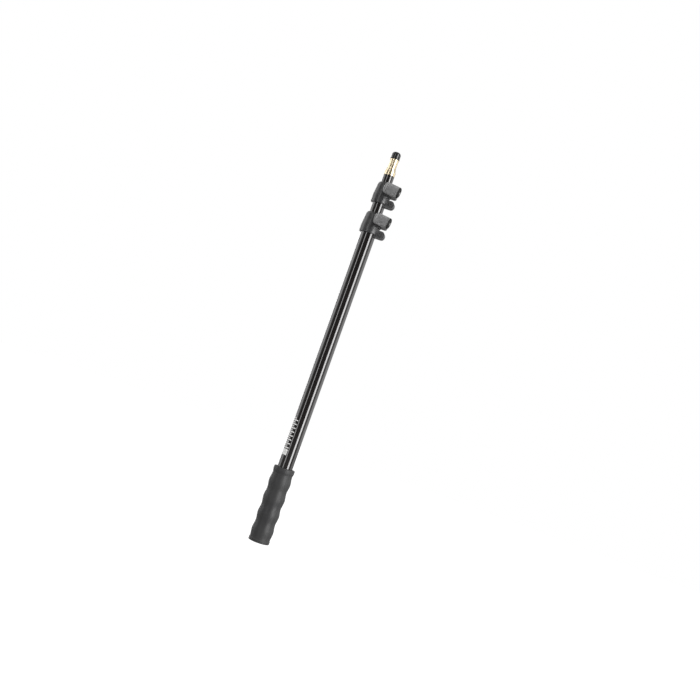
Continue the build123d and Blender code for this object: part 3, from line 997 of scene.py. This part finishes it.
def easeLine(start, end, steps):
    # an S-shaped run of points between two radii
    points = []
    for step in range(steps + 1):
        t = step / steps
        ease = (1 - math.cos(math.pi * t)) / 2
        points.append((start[0] + (end[0] - start[0]) * ease, start[1] + (end[1] - start[1]) * t))
    return points


def makeSpigot():
    shape = spigotShape
    low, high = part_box("spigot")
    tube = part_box("inner_tube")[1]
    ring, stem, tubeEnd = high.x, tube.x - tubeWall - gap, tube.z
    ringTop = tubeEnd + shape["ringHeight"]
    bevel, waist, stud = shape["bevel"], shape["waist"], shape["stud"]
    lip, lipEdge = shape["lip"], shape["lipEdge"]
    lipTop = high.z - lipEdge
    studBottom = high.z - shape["studDepth"]
    outline = [(0, low.z)] + rounded([(stem, low.z), (stem, tubeEnd), (ring - bevel, tubeEnd),
                                      (ring, tubeEnd + bevel), (ring, ringTop - bevel),
                                      (ring - bevel, ringTop)], shape["corner"])
    outline += easeLine((ring - shape["shoulder"], ringTop + gap),
                        (waist, ringTop + shape["taper"]), shape["taperSteps"])
    outline += easeLine((waist, high.z - shape["lipHeight"]), (lip, lipTop), shape["lipSteps"])
    outline += rounded([(lip, lipTop), (lip - lipEdge, high.z), (stud, high.z), (stud, studBottom)],
                       shape["studCorner"])[1:]
    outline.append((0, studBottom))
    spigot = turnPiece("spigot", outline, shape["around"], "paleBrass")
    settle(spigot, "inner_section", "brass", "spigot")


def makeStud():
    # the thread's crest and root follow a helix, and it fades out at both ends
    shape = threadShape
    low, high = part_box("tip_stud")
    crest, root = high.x, high.x - shape["depth"]
    around, pitch = shape["stepsPerTurn"], shape["pitch"]
    rows = int((high.z - low.z) / pitch * shape["rowsPerPitch"])
    bm = bmesh.new()
    rings = []
    for row in range(rows + 1):
        z = low.z + (high.z - low.z) * row / rows
        fade = min(1.0, (z - low.z) / pitch, (high.z - z) / pitch * shape["topFade"])
        ringVerts = []
        for step in range(around):
            share = (z / pitch - step / around) % 1.0
            wave = min(1.0, max(0.0, shape["flank"] * abs(share - 0.5) - shape["rootFlat"]))
            radius = root + (crest - root) * wave * fade
            angle = 2 * math.pi * step / around
            ringVerts.append(bm.verts.new((radius * math.cos(angle), radius * math.sin(angle), z)))
        rings.append(ringVerts)
    for lower, upper in zip(rings, rings[1:]):
        joinRings(bm, lower, upper, around)
    bm.faces.new(rings[0])
    bm.faces.new(rings[-1])
    settle(makePiece("tipStud", bm, "zincSteel", 70), "inner_section", "zinc_steel", "tip_stud")


def makeCap():
    shape = capShape
    low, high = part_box("tip_cap")
    wallGap, dome = shape["wallGap"], shape["dome"]
    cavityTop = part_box("tip_stud")[1].z + shape["studGap"]
    outer, wall = high.x, high.x - shape["bead"]
    beadTop = low.z + shape["beadHeight"]
    outline = [(0, cavityTop), (wallGap, cavityTop)]
    outline += rounded([(wallGap, low.z), (outer, low.z), (outer, beadTop),
                        (wall, beadTop + shape["beadSlope"]), (wall, high.z - dome)],
                       shape["corner"])
    outline += [(wall - dome + dome * math.cos(a), high.z - dome + dome * math.sin(a))
                for a in quarter(shape["domeSteps"])[1:]]
    outline.append((0, high.z))
    cap = turnPiece("tipCap", outline, shape["around"], "capGloss")
    settle(cap, "tip_cap", "cap_plastic", "tip_cap")


makeSpigot()
makeStud()
makeCap()
say("spigot, stud and cap")


# finishes on the CAD pieces that show as they are

cadFinishes = {
    "tubeGloss": ("outer_tube", "middle_tube", "inner_tube"),
    "nylon": ("middle_foot_bush", "inner_foot_bush", "lower_clamp_bush", "upper_clamp_bush"),
    "paleBrass": ("lower_knob_insert", "upper_knob_insert"),
    "zincSteel": ("spigot_pin",),
}
for finish, nodes in cadFinishes.items():
    for node in nodes:
        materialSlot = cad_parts[node].material_slots[0]
        materialSlot.link = "OBJECT"
        materialSlot.material = materials[finish]
say("CAD finishes")


# floor, light and camera

studio = {
    "floorDrop": 0.45,
    "floorRadius": 9.0,
    "floorDark": grey(0.40),
    "floorLight": grey(0.44),
    "floorGlow": 0.9,       # lifts the floor to the same white as the room, to the eye only
    "reach": 1.6,           # from the pole to each light, in metres
    "middle": 0.30,         # height of the lights' centres
    "frontShade": 0.05,     # how bright the room is in front of the pole
    "roomEdge": 0.75,       # and beside and behind it
    "shadeFrom": -0.75,     # the direction's Y where the one ends and the other starts
    "shadeTo": 0.15,
}
lights = (                  # name, degrees from the front, width, height, radiance, height offset
    ("keyStrip", 55, 0.62, 2.6, 9.0, 0.58),
    ("leftStrip", -22, 0.24, 2.6, 4.4, 0.58),
    ("leftCard", -90, 1.00, 2.6, 1.4, 0.58),
    ("rightCard", 115, 1.00, 1.5, 0.8, 0.0),
    ("backStrip", 215, 0.30, 1.5, 4.0, 0.0),
)


def makeStage():
    bm = bmesh.new()
    bmesh.ops.create_circle(bm, cap_ends=True, segments=96, radius=studio["floorRadius"])
    materials["studioFloor"] = makeFloorMaterial()
    piece = makePiece("studioFloor", bm, "studioFloor")
    piece.data.transform(Matrix.Translation((0, 0, -studio["floorDrop"])))


def makeFloorMaterial():
    material, tree, shader, place = startMaterial("studioFloor")
    haze = groupNode(tree, hazeGroup, -800, 200, place, Scale=0.7, Specks=0.0)
    base = blendColour(tree, -400, 300, haze.outputs["Cloud"], studio["floorDark"],
                       studio["floorLight"])
    tree.links.new(base, shader.inputs["Base Color"])
    seen = addNode(tree, "ShaderNodeLightPath", -400, -200).outputs["Is Camera Ray"]
    tree.links.new(seen, shader.inputs["Emission Color"])
    shader.inputs["Roughness"].default_value = 0.9
    shader.inputs["Specular IOR Level"].default_value = 0.1
    shader.inputs["Emission Strength"].default_value = studio["floorGlow"]
    return material


def makeWorld():
    # white to the eye; in reflections the room is dim in front of the pole and bright behind it
    world = bpy.data.worlds.new("studio")
    bpy.context.scene.world = world
    world.use_nodes = True
    tree = world.node_tree
    tree.nodes.clear()
    output = addNode(tree, "ShaderNodeOutputWorld", 900, 0)
    background = addNode(tree, "ShaderNodeBackground", 700, 0)
    split = addNode(tree, "ShaderNodeSeparateXYZ", -400, 0)
    direction = addNode(tree, "ShaderNodeTexCoord", -600, 0).outputs["Generated"]
    tree.links.new(direction, split.inputs[0])
    room = rangeNode(tree, -150, 0, split.outputs["Y"], studio["shadeFrom"], studio["shadeTo"],
                     studio["frontShade"], studio["roomEdge"])
    seen = addNode(tree, "ShaderNodeLightPath", -150, 300).outputs["Is Camera Ray"]
    strength = mathNode(tree, "MAXIMUM", 300, 100, room, seen)
    tree.links.new(strength, background.inputs["Strength"])
    background.inputs["Color"].default_value = (1.0, 1.0, 1.0, 1.0)
    tree.links.new(background.outputs[0], output.inputs[0])


def makeLight(name, turn, width, height, radiance, lift):
    lamp = bpy.data.lights.new(name, "AREA")
    lamp.shape = "RECTANGLE"
    lamp.size = width
    lamp.size_y = height
    lamp.energy = radiance * math.pi * width * height
    angle = math.radians(turn)
    place = Vector((math.sin(angle), -math.cos(angle), 0)) * studio["reach"]
    place.z = studio["middle"] + lift
    lampObject = bpy.data.objects.new(name, lamp)
    lampObject.location = place
    inward = Vector((place.x, place.y, 0)).normalized()
    lampObject.rotation_euler = inward.to_track_quat("Z", "Y").to_euler()
    lampObject.visible_camera = False
    bpy.context.scene.collection.objects.link(lampObject)


cameraSet = {
    "turn": 8.0,            # degrees round the pole from the front, towards +X
    "tilt": -2.2,           # looks slightly up
    "distance": 1.45,       # metres, as are the next and the last two
    "frameWidth": 0.9965,   # metres across at the pole
    "lean": 19.6,           # the pole leans right by this in the frame
    "height": 0.2984,       # where it looks: up the pole, and beside it
    "beside": 0.031,
}


def makeCamera():
    shape = cameraSet
    turn, tilt, lean = (math.radians(shape[key]) for key in ("turn", "tilt", "lean"))
    level = Vector((math.sin(turn), -math.cos(turn), 0))
    back = level * math.cos(tilt) + Vector((0, 0, math.sin(tilt)))
    right = Vector((math.cos(turn), math.sin(turn), 0))
    up = back.cross(right)
    aim = right * shape["beside"] + Vector((0, 0, shape["height"]))
    leanRight = right * math.cos(lean) + up * math.sin(lean)
    leanUp = up * math.cos(lean) - right * math.sin(lean)
    camera = bpy.data.cameras.new("camera")
    camera.sensor_width = 36.0
    camera.lens = camera.sensor_width * shape["distance"] / shape["frameWidth"]
    cameraObject = bpy.data.objects.new("camera", camera)
    axes = Matrix((leanRight, leanUp, back)).transposed().to_4x4()
    cameraObject.matrix_world = Matrix.Translation(aim + back * shape["distance"]) @ axes
    bpy.context.scene.collection.objects.link(cameraObject)
    bpy.context.scene.camera = cameraObject


makeStage()
makeWorld()
for light in lights:
    makeLight(*light)
makeCamera()
bpy.context.scene.view_settings.view_transform = "Standard"
say("floor, light and camera")
